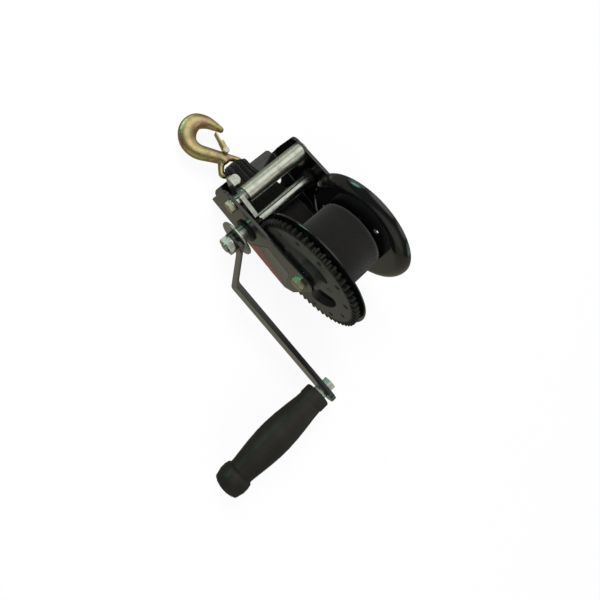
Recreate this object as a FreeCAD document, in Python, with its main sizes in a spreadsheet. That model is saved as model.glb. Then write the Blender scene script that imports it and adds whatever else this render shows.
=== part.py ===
import FreeCAD, Part
import math
import os
import re
import Sketcher
from FreeCAD import Vector, Placement, Rotation

# Boat trailer winch: a U-shaped frame carries a webbing drum with a stamped
# gear, a pinion shaft with a crank, a reversible pawl and a snap hook.
# +X is the way the strap pulls (towards the hook), +Y is the gear and crank
# side ("near"), -Y is the "far" side, +Z is up out of the mounting base.
# The origin is the centre of the four mounting slots, on the underside of
# the base. Millimetres.

doc = FreeCAD.newDocument("boat_trailer_winch")
sheet = doc.addObject("Spreadsheet::Sheet", "Sizes")

# Driving dimensions. A text value is a relation to the sizes above it.
SIZES = [
    # frame and mounting slots
    ("plate_thick", 3.0), ("bend_rad", 6.0), ("frame_half", 42.0),
    ("frame_inner", "frame_half - plate_thick"),
    ("base_back", -40.0), ("base_front", 42.0), ("tongue_front", 47.0), ("tongue_half", 35.5),
    ("slot_half_x", 22.0), ("slot_half_y", 23.0), ("slot_rad", 5.25), ("slot_half_run", 2.625),
    # the three axes across the frame
    ("drum_x", -62.0), ("drum_z", 63.0), ("shaft_x", 0.5), ("shaft_z", 31.5),
    ("pawl_x", 25.0), ("pawl_z", 49.0),
    # drum axle and bushes
    ("drum_bolt_rad", 4.0), ("drum_hole_rad", "drum_bolt_rad + 0.1"),
    ("sleeve_rad", 8.0), ("sleeve_bore", "drum_bolt_rad + 0.05"),
    ("bush_bore", "sleeve_rad + 0.05"), ("bush_rad", 11.0),
    # drum
    ("core_rad", 19.0), ("core_wall", 2.0), ("flange_thick", 2.0), ("flange_rad", 61.5),
    ("flange_y", 27.0), ("far_flange_y", -26.0), ("far_flat_rad", 46.0),
    ("far_rim_rad", 57.4), ("far_rim_drop", 10.2), ("far_thick", 1.6),
    # gear and pinion
    ("gear_y", 30.0), ("gear_face", 4.6), ("standoff_rad", 37.5),
    ("gear_module", 2.0), ("gear_teeth", 58.0), ("pinion_teeth", 12.0), ("pinion_shift", 0.3),
    ("pinion_y", 27.5), ("pinion_wide", 8.8),
    # strap on the drum
    ("coil_rad", 36.0), ("coil_dx", 1.8), ("coil_dz", -1.2), ("strap_half", 23.6),
    ("strap_side", 0.6), ("run_z", 24.0), ("strap_thick", 2.2),
    # pinion shaft and crank hub
    ("shaft_rad", 6.0), ("shaft_end_rad", 5.0), ("shaft_bush_bore", "shaft_rad + 0.05"),
    ("shaft_bush_rad", 8.0), ("hub_disc_rad", 18.0), ("hub_seat", 52.5), ("hub_face", 55.0),
    ("hub_sleeve_rad", 8.5),
    # crank arm and grip
    ("arm_thick", 5.0), ("arm_wide", 25.0), ("arm_hub_y", "hub_face"), ("arm_run_y", 80.0),
    ("crank_length", 162.5), ("arm_over", 15.0), ("grip_start", 89.5), ("grip_end", 210.0),
    ("grip_bolt_rad", 4.0), ("grip_bore", "grip_bolt_rad + 0.08"),
    # pawl
    ("pawl_bolt_rad", 3.0), ("tube_rad", 8.0), ("tube_bore", "pawl_bolt_rad + 0.05"),
    ("tube_neck", 5.0), ("pawl_thick", 4.0), ("pawl_y", 31.5),
    # strap loop and hook
    ("loop_x", 50.0), ("loop_z", 17.0), ("hook_y", 12.0), ("eye_bar_rad", 2.8),
    ("loop_bore", "eye_bar_rad + 0.15"), ("loop_rad", 6.3), ("loop_half", 7.4),
]
VALUES = {}


def size(text):
    """Value of a number, or of a sum of numbers and sizes with spaces round + and -."""
    total, sign = 0.0, 1.0
    for token in str(text).split():
        if token in ("+", "-"):
            sign = 1.0 if token == "+" else -1.0
            continue
        name = token.lstrip("-")
        value = VALUES[name] if name in VALUES else float(name)
        total += sign * (-value if token.startswith("-") else value)
        sign = 1.0
    return total


def link(text):
    """The same sum written for the expression engine."""
    return re.sub(r"\b[a-z]\w+", r"Sizes.\g<0>", str(text))


for row, (alias, value) in enumerate(SIZES, start=1):
    sheet.set("A%d" % row, alias.replace("_", " "))
    sheet.set("B%d" % row, "=" + value if isinstance(value, str) else repr(value))
    sheet.setAlias("B%d" % row, alias)
    VALUES[alias] = size(value)
doc.recompute()

# Axes along Y, as (x, z)
ORIGIN = ("0", "0")
DRUM = ("drum_x", "drum_z")
SHAFT = ("shaft_x", "shaft_z")
PAWL = ("pawl_x", "pawl_z")
GRIP = ("shaft_x - crank_length", "shaft_z")

drum_x, drum_z = map(size, DRUM)
shaft_x, shaft_z = map(size, SHAFT)
pawl_x, pawl_z = map(size, PAWL)

pieces = []  # every object to be exported


# ------------------------------------------------------- parametric bodies
def new_body(label):
    body = doc.addObject("PartDesign::Body", "Body_" + label)
    body.Label = label
    pieces.append(body)
    return body


def place(obj, axis):
    """Move an object built round the Y axis to its own axis."""
    x, z = axis
    obj.Placement = Placement(Vector(size(x), 0, size(z)), Rotation())
    for name, text in zip("xz", axis):
        if str(text) != "0":
            obj.setExpression("Placement.Base." + name, link(text))


def new_sketch(body, plane, offset="0"):
    sketch = body.newObject("Sketcher::SketchObject", "Sketch")
    support = next(item for item in body.Origin.OriginFeatures if item.Role == plane)
    sketch.AttachmentSupport = [(support, "")]
    sketch.MapMode = "FlatFace"
    sketch.AttachmentOffset = Placement(Vector(0, 0, size(offset)), Rotation())
    sketch.setExpression("AttachmentOffset.Base.z", link(offset))
    return sketch


def hold_point(sketch, geo, pos, across, up):
    """Tie a point to the sketch origin; a zero puts it on the axis."""
    for kind, text, axis_line in (("DistanceX", across, -2), ("DistanceY", up, -1)):
        if str(text) in ("0", "0.0"):
            sketch.addConstraint(Sketcher.Constraint("PointOnObject", geo, pos, axis_line))
        else:
            limit = Sketcher.Constraint(kind, -1, 1, geo, pos, size(text))
            index = sketch.addConstraint(limit)
            sketch.setExpression("Constraints[%d]" % index, link(text))


def hold_radius(sketch, geo, radius):
    index = sketch.addConstraint(Sketcher.Constraint("Radius", geo, size(radius)))
    sketch.setExpression("Constraints[%d]" % index, link(radius))


def add_line(sketch, start, end):
    return sketch.addGeometry(Part.LineSegment(start, end), False)


def add_arc(sketch, centre, radius, start, end):
    full = Part.Circle(centre, Vector(0, 0, 1), radius)
    return sketch.addGeometry(Part.ArcOfCircle(full, start, end), False)


def polygon(sketch, points):
    corners = [Vector(size(across), size(up), 0) for across, up in points]
    count = len(corners)
    lines = [add_line(sketch, corners[i], corners[(i + 1) % count]) for i in range(count)]
    for i in range(count):
        joint = Sketcher.Constraint("Coincident", lines[i], 2, lines[(i + 1) % count], 1)
        sketch.addConstraint(joint)
    for line, (across, up) in zip(lines, points):
        hold_point(sketch, line, 1, across, up)


def circle(sketch, across, up, radius):
    centre = Vector(size(across), size(up), 0)
    geo = sketch.addGeometry(Part.Circle(centre, Vector(0, 0, 1), size(radius)), False)
    hold_point(sketch, geo, 3, across, up)
    hold_radius(sketch, geo, radius)


def outlines(*polygons):
    """Drawing function for closed outlines."""
    def draw(sketch):
        for points in polygons:
            polygon(sketch, points)
    return draw


def holes(*rows):
    """Drawing function for circles given as (across, up, radius)."""
    def draw(sketch):
        for row in rows:
            circle(sketch, *row)
    return draw


def pad(body, plane, draw, offset, thick, cut=False, midplane=False):
    """Pad or cut a drawing along the plane's normal, which is -Y for XZ_Plane."""
    sketch = new_sketch(body, plane, offset)
    draw(sketch)
    before = body.Shape.Volume if cut else None
    feature = body.newObject("PartDesign::Pocket" if cut else "PartDesign::Pad", "Feature")
    feature.Profile = sketch
    feature.Length = size(thick)
    feature.setExpression("Length", link(thick))
    if cut:
        feature.Reversed = True
    if midplane:
        feature.Midplane = True
    body.Tip = feature
    doc.recompute()
    if cut and not body.Shape.Volume < before - 0.01:
        raise RuntimeError("cut removed nothing in " + body.Label)


def cut_along_y(body, draw, top, depth):
    """Cut from Y = top down by depth."""
    pad(body, "XZ_Plane", draw, -top, depth, cut=True)


def turned(label, points, axis=ORIGIN):
    """Solid of revolution about the Y direction; points are (radius, Y)."""
    body = new_body(label)
    sketch = new_sketch(body, "XY_Plane")
    polygon(sketch, points)
    turn = body.newObject("PartDesign::Revolution", "Turn")
    turn.Profile = sketch
    turn.ReferenceAxis = (sketch, ["V_Axis"])
    turn.Angle = 360.0
    body.Tip = turn
    place(body, axis)
    doc.recompute()
    return body


def ring(label, axis, bore, outer, low, high):
    """Plain tube or washer between Y = low and Y = high."""
    turned(label, [(bore, low), (outer, low), (outer, high), (bore, high)], axis)


def fillet(body, wanted, radius):
    names = ["Edge%d" % i for i, edge in enumerate(body.Shape.Edges, start=1) if wanted(edge)]
    if not names:
        raise RuntimeError("no edges to round on " + body.Label)
    base = body.Tip
    feature = body.newObject("PartDesign::Fillet", "Dress")
    feature.Base = (base, names)
    feature.Radius = size(radius)
    feature.setExpression("Radius", link(radius))
    body.Tip = feature
    doc.recompute()
    if "Invalid" in feature.State or not body.Shape.isValid() or body.Shape.isNull():
        raise RuntimeError("rounding failed on " + body.Label)


def near(value, target):
    return abs(value - target) < 0.01


def along(edge, axis):
    """True for a straight edge parallel to the named axis."""
    if edge.Curve.TypeId != "Part::GeomLine":
        return False
    direction = edge.tangentAt(edge.FirstParameter)
    return abs(abs(getattr(direction, axis)) - 1.0) < 1e-6


def mid(edge):
    return edge.valueAt((edge.FirstParameter + edge.LastParameter) / 2.0)


# ------------------------------------------------------------ plain shapes
def shape_part(label, shape, axis=None):
    obj = doc.addObject("Part::Feature", "Shape_" + label)
    obj.Label = label
    obj.Shape = shape
    if axis:
        place(obj, axis)
    pieces.append(obj)


def polar(radius, degrees):
    angle = math.radians(degrees)
    return radius * math.cos(angle), radius * math.sin(angle)


def plate(points, low, thick):
    """Flat plate with an (x, z) outline, from Y = low up by thick."""
    corners = [Vector(x, low, z) for x, z in points]
    corners.append(corners[0])
    return Part.Face(Part.makePolygon(corners)).extrude(Vector(0, thick, 0))


def rod(radius, low, high, axis=ORIGIN):
    """Cylinder along Y from low to high."""
    x, z = map(size, axis)
    low, high = size(low), size(high)
    return Part.makeCylinder(size(radius), high - low, Vector(x, low, z), Vector(0, 1, 0))


def hex_block(flats, low, high, axis, turn, chamfered):
    """Hexagon along Y; chamfered names the end with cut corners: high, low or both."""
    x, z = map(size, axis)
    low, high = size(low), size(high)
    radius, height = flats / math.sqrt(3.0), high - low
    corners = []
    for k in range(6):
        dx, dz = polar(radius, 60 * k + turn)
        corners.append((x + dx, z + dz))
    block = plate(corners, low, height)
    wide, narrow = radius * 1.02 + height * 1.5, radius * 0.90
    for end, first, last in (("high", wide, narrow), ("low", narrow, wide)):
        if chamfered in (end, "both"):
            cone = Part.makeCone(first, last, height, Vector(x, low, z), Vector(0, 1, 0))
            block = block.common(cone)
    return block


def bolt(label, axis, radius, shank, flats, head, turn, chamfered="high"):
    """Shank and hexagon head; shank and head are (low, high) along Y."""
    shape = rod(radius, *shank, axis).fuse(hex_block(flats, *head, axis, turn, chamfered))
    shape_part(label, shape.removeSplitter())


def nut(label, axis, bore, flats, low, high, turn, chamfered="high"):
    block = hex_block(flats, low, high, axis, turn, chamfered)
    shape_part(label, block.cut(rod(bore, low - 10.0, high + 10.0, axis)))


def coil_of_rings(label, coil_rad, wire_rad, start, step, axis, count):
    """Spring drawn as a stack of wire rings, each a step along the axis."""
    coil = None
    for k in range(count):
        loop = Part.makeTorus(coil_rad, wire_rad, start + axis * (step * k), axis)
        coil = loop if coil is None else coil.fuse(loop)
    shape_part(label, coil)


# ------------------------------------------------------------------- frame
frame = new_body("frame")
SIDE_TOP_FRONT = 38.5  # X of the side plate's upper front corner
CHANNEL_TOP = "bend_rad + 6.0"
# side plate, (x, z)
SIDE = [
    ("base_back", "bend_rad"), ("base_front", "bend_rad"), ("base_front", CHANNEL_TOP),
    (SIDE_TOP_FRONT, 53.5), (-5.5, 64.0), ("drum_x", 78.5), (-69.0, 78.5), (-74.0, 70.0),
    (-74.0, 20.0), (-67.0, 6.0), (-45.0, 4.5), (-42.0, "bend_rad"),
]


def draw_side(pawl_hole):
    def draw(sketch):
        polygon(sketch, SIDE)
        circle(sketch, *DRUM, "drum_hole_rad")
        circle(sketch, *SHAFT, "shaft_bush_rad")
        circle(sketch, *PAWL, pawl_hole)
    return draw


pad(frame, "XZ_Plane", draw_side("tube_bore + 0.05"), "-frame_half", "plate_thick")
pad(frame, "XZ_Plane", draw_side("tube_neck + 0.05"), "frame_inner", "plate_thick")

# U section of the folded base: (y, z, radius of the bend that starts here or None)
BEND_INSIDE = "bend_rad - plate_thick"
CHANNEL = [
    ("-frame_half + bend_rad", "0", None), ("frame_half - bend_rad", "0", "bend_rad"),
    ("frame_half", "bend_rad", None), ("frame_half", CHANNEL_TOP, None),
    ("frame_inner", CHANNEL_TOP, None), ("frame_inner", "bend_rad", BEND_INSIDE),
    ("frame_half - bend_rad", "plate_thick", None),
    ("-frame_half + bend_rad", "plate_thick", BEND_INSIDE),
    ("-frame_inner", "bend_rad", None), ("-frame_inner", CHANNEL_TOP, None),
    ("-frame_half", CHANNEL_TOP, None), ("-frame_half", "bend_rad", "bend_rad"),
]


def draw_channel(sketch):
    corners = [Vector(size(y), size(z), 0) for y, z, _ in CHANNEL]
    count = len(corners)
    runs = []  # (geometry, its start point, its end point) in outline order
    for i, (_, _, bend) in enumerate(CHANNEL):
        start, end = corners[i], corners[(i + 1) % count]
        if bend is None:
            runs.append((add_line(sketch, start, end), 1, 2))
            continue
        near_side = start.x > 0
        low, high = (-math.pi / 2, 0.0) if near_side else (math.pi, 1.5 * math.pi)
        middle = size("frame_half - bend_rad") * (1 if near_side else -1)
        centre = Vector(middle, size("bend_rad"), 0)
        radius = size(bend)
        geo = add_arc(sketch, centre, radius, low, high)
        arc_start = centre + Vector(radius * math.cos(low), radius * math.sin(low), 0)
        forward = (start - arc_start).Length < 1e-6
        runs.append((geo, 1, 2) if forward else (geo, 2, 1))
        hold_radius(sketch, geo, bend)
    for i, (geo, first, last) in enumerate(runs):
        next_geo, next_first, _ = runs[(i + 1) % count]
        joint = Sketcher.Constraint("Coincident", geo, last, next_geo, next_first)
        sketch.addConstraint(joint)
        hold_point(sketch, geo, first, CHANNEL[i][0], CHANNEL[i][1])


pad(frame, "YZ_Plane", draw_channel, "base_back", "base_front - base_back")
TONGUE = [("base_front - 2", "-tongue_half"), ("tongue_front", "-tongue_half"),
          ("tongue_front", "tongue_half"), ("base_front - 2", "tongue_half")]
pad(frame, "XY_Plane", outlines(TONGUE), "0", "plate_thick")


def draw_slot(sketch, slot_x, slot_y):
    x, y = size(slot_x), size(slot_y)
    radius, run = size("slot_rad"), size("slot_half_run")
    quarter = math.pi / 2
    front = add_arc(sketch, Vector(x + run, y, 0), radius, -quarter, quarter)
    back = add_arc(sketch, Vector(x - run, y, 0), radius, quarter, 3 * quarter)
    low = add_line(sketch, Vector(x - run, y - radius, 0), Vector(x + run, y - radius, 0))
    high = add_line(sketch, Vector(x + run, y + radius, 0), Vector(x - run, y + radius, 0))
    for first, second in ((low, front), (front, high), (high, back), (back, low)):
        sketch.addConstraint(Sketcher.Constraint("Tangent", first, 2, second, 1))
    hold_point(sketch, front, 3, slot_x + " + slot_half_run", slot_y)
    hold_point(sketch, back, 3, slot_x + " - slot_half_run", slot_y)
    hold_radius(sketch, front, "slot_rad")


def draw_slots(sketch):
    for slot_x in ("slot_half_x", "-slot_half_x"):
        for slot_y in ("slot_half_y", "-slot_half_y"):
            draw_slot(sketch, slot_x, slot_y)


pad(frame, "XY_Plane", draw_slots, "0", "plate_thick", cut=True)
# upper front corners of the sides, their back corners, then the tongue's corners
fillet(frame, lambda e: along(e, "y") and near(mid(e).x, SIDE_TOP_FRONT) and mid(e).z > 40, 9.0)
fillet(frame, lambda e: along(e, "y") and mid(e).x < -68.0, 4.5)
fillet(frame, lambda e: along(e, "z") and near(mid(e).x, size("tongue_front")), 4.5)

# label on the outside of the near side plate, (x, z)
LABEL_THICK = 0.3
LABEL = [(-12.0, 6.8), (-62.0, 6.8), (-65.5, 14.0), (-52.0, 50.0), (-22.0, 50.0)]
side_label = new_body("side_label")
pad(side_label, "XZ_Plane", outlines(LABEL), "-frame_half - %s" % LABEL_THICK, LABEL_THICK)

# -------------------------------------------------------------------- drum
# places relative to the drum axis, (x, z)
RIVETS = [polar(29.5, degrees) for degrees in (6, 126, 246)]
RIVET_HOLE_RAD = 2.55
ANCHOR_OFFSET = polar(25.0, 66)
ANCHOR_HOLE_RAD = 3.1

# near flange: a disc with a rounded rim
FLANGE_BACK = "flange_y - flange_thick"
near_flange = turned("near_flange", [
    ("bush_rad", FLANGE_BACK), ("flange_rad - 0.8", FLANGE_BACK),
    ("flange_rad - 0.2", FLANGE_BACK + " + 0.25"), ("flange_rad", FLANGE_BACK + " + 0.8"),
    ("flange_rad", "flange_y - 0.8"), ("flange_rad - 0.2", "flange_y - 0.25"),
    ("flange_rad - 0.8", "flange_y"), ("bush_rad", "flange_y"),
])
flange_holes = [(x, z, RIVET_HOLE_RAD) for x, z in RIVETS]
flange_holes.append((*ANCHOR_OFFSET, ANCHOR_HOLE_RAD))
cut_along_y(near_flange, holes(*flange_holes), 30.0, 10.0)
place(near_flange, DRUM)


# far flange: a disc whose rim curls away towards -Y in a quarter of an ellipse
def curl(reach, drop, face, first):
    """Curl from the flat's edge: reach is radial, drop is along -Y, face is where it starts."""
    steps = 12
    points = []
    for k in range(first, steps + 1):
        angle = math.radians(90.0 * k / steps)
        points.append(("far_flat_rad + %.5f" % (reach * math.sin(angle)),
                       "%s - %.5f" % (face, drop * (1 - math.cos(angle)))))
    return points


rim_reach = size("far_rim_rad - far_flat_rad")
rim_drop = size("far_rim_drop")
sheet_thick = size("far_thick")
FAR_BACK = "far_flange_y - far_thick"
far_profile = [("bush_rad", "far_flange_y"), ("far_flat_rad", "far_flange_y")]
far_profile += curl(rim_reach, rim_drop, "far_flange_y", 1)
far_profile += curl(rim_reach - sheet_thick, rim_drop - sheet_thick, FAR_BACK, 0)[::-1]
far_profile.append(("bush_rad", FAR_BACK))
far_flange = turned("far_flange", far_profile)
far_holes = holes((*ANCHOR_OFFSET, ANCHOR_HOLE_RAD), (-4.0, 36.8, 2.6), (35.6, -15.0, 2.6))
cut_along_y(far_flange, far_holes, -20.0, 12.0)
place(far_flange, DRUM)

ring("drum_core", DRUM, "core_rad - core_wall", "core_rad", "far_flange_y", FLANGE_BACK)

# ---------------------------------------------------------- gear and rivets
gear_teeth, pinion_teeth = int(size("gear_teeth")), int(size("pinion_teeth"))
pinion_shift = size("pinion_shift")
# heading from the drum axis to the shaft axis; the pinion has a tooth on
# this line and the gear has a gap there
line_angle = math.atan2(shaft_z - drum_z, shaft_x - drum_x)


def involute_outline(teeth, shift, tip, root, phase):
    """Spur gear outline, (x, z), with a tooth centred at phase (radians)."""
    backlash = 0.12
    pressure = math.radians(20.0)
    pitch = size("gear_module") * teeth / 2.0
    base = pitch * math.cos(pressure)
    half_at_pitch = (math.pi / (2.0 * teeth) + 2.0 * shift * math.tan(pressure) / teeth
                     - backlash / (2.0 * pitch))
    half_at_base = half_at_pitch + math.tan(pressure) - pressure

    def half(radius):
        """Half the angle a tooth takes up at this radius."""
        if radius <= base:
            return half_at_base
        angle = math.acos(base / radius)
        return half_at_base - (math.tan(angle) - angle)

    start = max(root, base)
    flank = [(half(r), r) for r in (start + (tip - start) * k / 5.0 for k in range(6))]
    if root < base:
        flank.insert(0, (half(base) * 1.03, root))
    points = []
    for n in range(teeth):
        middle = phase + 2 * math.pi * n / teeth
        points += [(middle - turn, r) for turn, r in flank]
        points += [(middle + turn, r) for turn, r in reversed(flank)]
    return [(r * math.cos(angle), r * math.sin(angle)) for angle, r in points]


def gear_opening(middle):
    """Cutter for a sector-shaped opening centred at the given angle, in degrees."""
    inner, outer, inner_half, outer_half = 16.0, 36.5, 30.0, 44.0

    def corner(radius, degrees):
        x, z = polar(radius, degrees)
        return Vector(x, 20.0, z)

    def arc(radius, half):
        ends = [corner(radius, middle + turn) for turn in (-half, 0.0, half)]
        return ends if radius == outer else ends[::-1]

    outer_arc, inner_arc = arc(outer, outer_half), arc(inner, inner_half)
    outline = Part.Wire([Part.Arc(*outer_arc).toShape(),
                         Part.makeLine(outer_arc[2], inner_arc[0]),
                         Part.Arc(*inner_arc).toShape(),
                         Part.makeLine(inner_arc[2], outer_arc[0])])
    cutter = Part.Face(outline).extrude(Vector(0, 20, 0))

    def corners(wanted):
        return [e for e in cutter.Edges
                if along(e, "y") and wanted(math.hypot(mid(e).x, mid(e).z))]

    cutter = cutter.makeFillet(5.0, corners(lambda radius: radius > 30))
    return cutter.makeFillet(2.5, corners(lambda radius: radius < 20))


# stamped gear: a flat toothed plate with a pressed standoff that sits against
# the flange and keeps the teeth clear of it
gear = plate(involute_outline(gear_teeth, -pinion_shift, tip=59.3, root=54.9,
                              phase=line_angle + math.pi / gear_teeth),
             size("gear_y"), size("gear_face"))
standoff = rod("standoff_rad", "flange_y", "gear_y + 0.5")
standoff = standoff.makeFillet(1.2, [e for e in standoff.Edges
                                     if e.Curve.TypeId == "Part::GeomCircle"
                                     and near(e.Curve.Center.y, size("flange_y"))])
gear = gear.fuse(standoff).removeSplitter()
gear = gear.cut(rod("bush_rad", 20, 40))
for middle in (186.0, 306.0, 66.0):
    gear = gear.cut(gear_opening(middle))
# ring of twelve small holes
for k in range(12):
    gear = gear.cut(rod(2.8, 20, 40, polar(47.0, 30.0 * k + 17.5)))
for spot in RIVETS:
    gear = gear.cut(rod(RIVET_HOLE_RAD, 20, 40, spot))
shape_part("drum_gear", gear, DRUM)


def rivet(spot):
    """Domed head on the gear, flat tail behind the flange."""
    x, z = spot
    face = size("gear_y + gear_face")
    tail_high = size(FLANGE_BACK)
    tail_low = tail_high - 0.7
    dome = Part.makeSphere(6.0, Vector(x, face - 4.7, z))
    head = dome.common(rod(8.0, face, face + 3, spot))
    tail = rod(4.2, tail_low, tail_high, spot)
    return rod(2.5, tail_low, face + 0.5, spot).fuse(head).fuse(tail).removeSplitter()


shape_part("gear_rivets", Part.makeCompound([rivet(spot) for spot in RIVETS]), DRUM)

# ------------------------------------------- drum bushes, anchor and coil
ring("drum_bush_near", DRUM, "bush_bore", "bush_rad", 17.0, 36.8)
turned("drum_bush_far", [("bush_bore", -37.0), (14.0, -37.0), (14.0, FAR_BACK),
                         ("bush_rad", FAR_BACK), ("bush_rad", -17.0), ("bush_bore", -17.0)], DRUM)

ANCHOR = (drum_x + ANCHOR_OFFSET[0], drum_z + ANCHOR_OFFSET[1])
bolt("strap_anchor_bolt", ANCHOR, radius=3.0, shank=(-33.4, "flange_y"),
     flats=10.0, head=("flange_y", "flange_y + 4.0"), turn=10)
nut("strap_anchor_nut", ANCHOR, bore=3.0, flats=10.0, low=-32.6, high=-27.6,
    turn=20, chamfered="both")

# the wound strap sits a little off the drum's centre, as a strap wound by hand does
COIL_LOW, COIL_HIGH = "-strap_half + strap_side", "strap_half + strap_side"
strap_coil = turned("strap_coil", [("0", COIL_LOW), ("coil_rad", COIL_LOW),
                                   ("coil_rad", COIL_HIGH), ("0", COIL_HIGH)])
cut_along_y(strap_coil, holes(("-coil_dx", "-coil_dz", "core_rad + 0.1")), 40.0, 80.0)
anchor_in_coil = (ANCHOR_OFFSET[0] - size("coil_dx"), ANCHOR_OFFSET[1] - size("coil_dz"), 3.3)
cut_along_y(strap_coil, holes(anchor_in_coil), 40.0, 80.0)
place(strap_coil, ("drum_x + coil_dx", "drum_z + coil_dz"))

# -------------------------------------------------------------- drum axle
ring("drum_sleeve", DRUM, "sleeve_bore", "sleeve_rad", "-frame_inner", "frame_inner")
bolt("drum_bolt", DRUM, "drum_bolt_rad", shank=(-52.0, "frame_half"),
     flats=13.0, head=("frame_half", "frame_half + 5.6"), turn=12)
ring("drum_bolt_washer", DRUM, "drum_bolt_rad + 0.1", 8.0, "-frame_half - 1.6", "-frame_half")
nut("drum_bolt_nut", DRUM, "drum_bolt_rad", flats=13.0, low=-50.1, high=-43.6,
    turn=5, chamfered="low")

# ------------------------------------------------------------ pinion shaft
GROOVE_LOW, GROOVE_HIGH = -45.0, -43.9  # circlip groove
turned("pinion_shaft", [
    ("0", -47.5), ("shaft_rad - 1", -47.5), ("shaft_rad", -46.5), ("shaft_rad", GROOVE_LOW),
    ("shaft_rad - 0.6", GROOVE_LOW), ("shaft_rad - 0.6", GROOVE_HIGH),
    ("shaft_rad", GROOVE_HIGH), ("shaft_rad", "hub_seat"), ("shaft_end_rad", "hub_seat"),
    ("shaft_end_rad", 68.0), ("shaft_end_rad - 0.8", 68.8), ("0", 68.8),
], SHAFT)

pinion = plate(involute_outline(pinion_teeth, pinion_shift, tip=14.45, root=10.05,
                                phase=line_angle + math.pi),
               size("pinion_y"), size("pinion_wide"))
shape_part("drive_pinion", pinion.cut(rod("shaft_rad", 20, 45)), SHAFT)

# flanged bushes in the side plates
turned("shaft_bush_near", [
    ("shaft_bush_bore", 36.7), ("shaft_bush_rad", 36.7), ("shaft_bush_rad", "frame_half"),
    (11.5, "frame_half"), (11.5, "frame_half + 2.0"), ("shaft_bush_bore", "frame_half + 2.0"),
], SHAFT)
turned("shaft_bush_far", [
    ("shaft_bush_bore", "-frame_half - 1.6"), (11.5, "-frame_half - 1.6"),
    (11.5, "-frame_half"), ("shaft_bush_rad", "-frame_half"), ("shaft_bush_rad", -35.0),
    ("shaft_bush_bore", -35.0),
], SHAFT)

# circlip, open at the bottom
clip = rod(9.0, -44.8, -43.95).cut(rod("shaft_rad - 0.58", -50, -40))
clip = clip.cut(Part.makeBox(6.0, 20, 12.0, Vector(-3.0, -50, -12.0)))
shape_part("shaft_circlip", clip, SHAFT)

# flanged spacer: a sleeve on the shaft with the disc that the crank arm sits against
turned("crank_hub", [
    ("shaft_rad + 0.02", 44.2), ("hub_sleeve_rad", 44.2), ("hub_sleeve_rad", "hub_seat"),
    ("hub_disc_rad - 0.5", "hub_seat"), ("hub_disc_rad", "hub_seat + 0.5"),
    ("hub_disc_rad", "hub_face - 0.5"), ("hub_disc_rad - 0.5", "hub_face"),
    ("shaft_end_rad + 0.02", "hub_face"), ("shaft_end_rad + 0.02", "hub_seat"),
    ("shaft_rad + 0.02", "hub_seat"),
], SHAFT)

# --------------------------------------------------------------- crank arm
# flat bar set outwards by a joggle, running back from the hub; distances along X
# from the shaft: ahead of it to the hub end, behind it to the joggle's bends
HUB_END = 8.8
OUTER_BENDS = (10.0, 31.5)
INNER_BENDS = (7.9, 29.4)
ARM_END = "shaft_x - crank_length - arm_over"
BAR = [  # (x, y)
    ("shaft_x + %s" % HUB_END, "arm_hub_y"), ("shaft_x + %s" % HUB_END, "arm_hub_y + arm_thick"),
    ("shaft_x - %s" % OUTER_BENDS[0], "arm_hub_y + arm_thick"),
    ("shaft_x - %s" % OUTER_BENDS[1], "arm_run_y + arm_thick"),
    (ARM_END, "arm_run_y + arm_thick"), (ARM_END, "arm_run_y"),
    ("shaft_x - %s" % INNER_BENDS[1], "arm_run_y"),
    ("shaft_x - %s" % INNER_BENDS[0], "arm_hub_y"),
]
crank = new_body("crank_arm")
pad(crank, "XY_Plane", outlines(BAR), "0", "arm_wide", midplane=True)

# the bar narrows to the shaft hole so that it clears the rim of the hub disc;
# (x, half width) of the waste cut from the upper and lower edges
TAPER = [("shaft_x - 6.0", "14.0"), ("shaft_x - 6.0", "12.5"), ("shaft_x - 3.0", "12.5"),
         ("shaft_x + 1.0", "8.4"), ("shaft_x + 14.0", "8.4"), ("shaft_x + 14.0", "14.0")]
LOWER_TAPER = [(x, "-" + half) for x, half in TAPER]
cut_along_y(crank, outlines(TAPER, LOWER_TAPER), 100.0, 60.0)
fillet(crank, lambda e: along(e, "y") and near(mid(e).x, shaft_x + HUB_END), 7.2)
fillet(crank, lambda e: along(e, "y") and near(mid(e).x, size(ARM_END)), 12.0)
fillet(crank, lambda e: along(e, "z") and any(near(mid(e).x, shaft_x - back)
                                              for back in OUTER_BENDS + INNER_BENDS), 5.0)
cut_along_y(crank, holes(("shaft_x", "0", "shaft_end_rad + 0.02"),
                         (GRIP[0], "0", "grip_bolt_rad + 0.05")), 100.0, 60.0)
place(crank, ("0", "shaft_z"))
ring("crank_washer", SHAFT, "shaft_end_rad + 0.05", 8.0, 60.0, 61.6)
nut("crank_nut", SHAFT, "shaft_end_rad", flats=16.0, low=61.6, high=67.2, turn=20)

# -------------------------------------------------------------------- grip
bolt("grip_bolt", GRIP, "grip_bolt_rad", shank=(79.0, 203.0),
     flats=13.0, head=(73.4, 79.0), turn=8, chamfered="low")
ring("grip_bolt_washer", GRIP, "grip_bolt_rad + 0.05", 8.0, 79.0, "arm_run_y")
nut("grip_jam_nut", GRIP, "grip_bolt_rad", flats=13.0, low=85.0, high=89.0, turn=25)
nut("grip_lock_nut", GRIP, "grip_bolt_rad", flats=12.0, low=195.6, high=202.0, turn=0)

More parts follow.
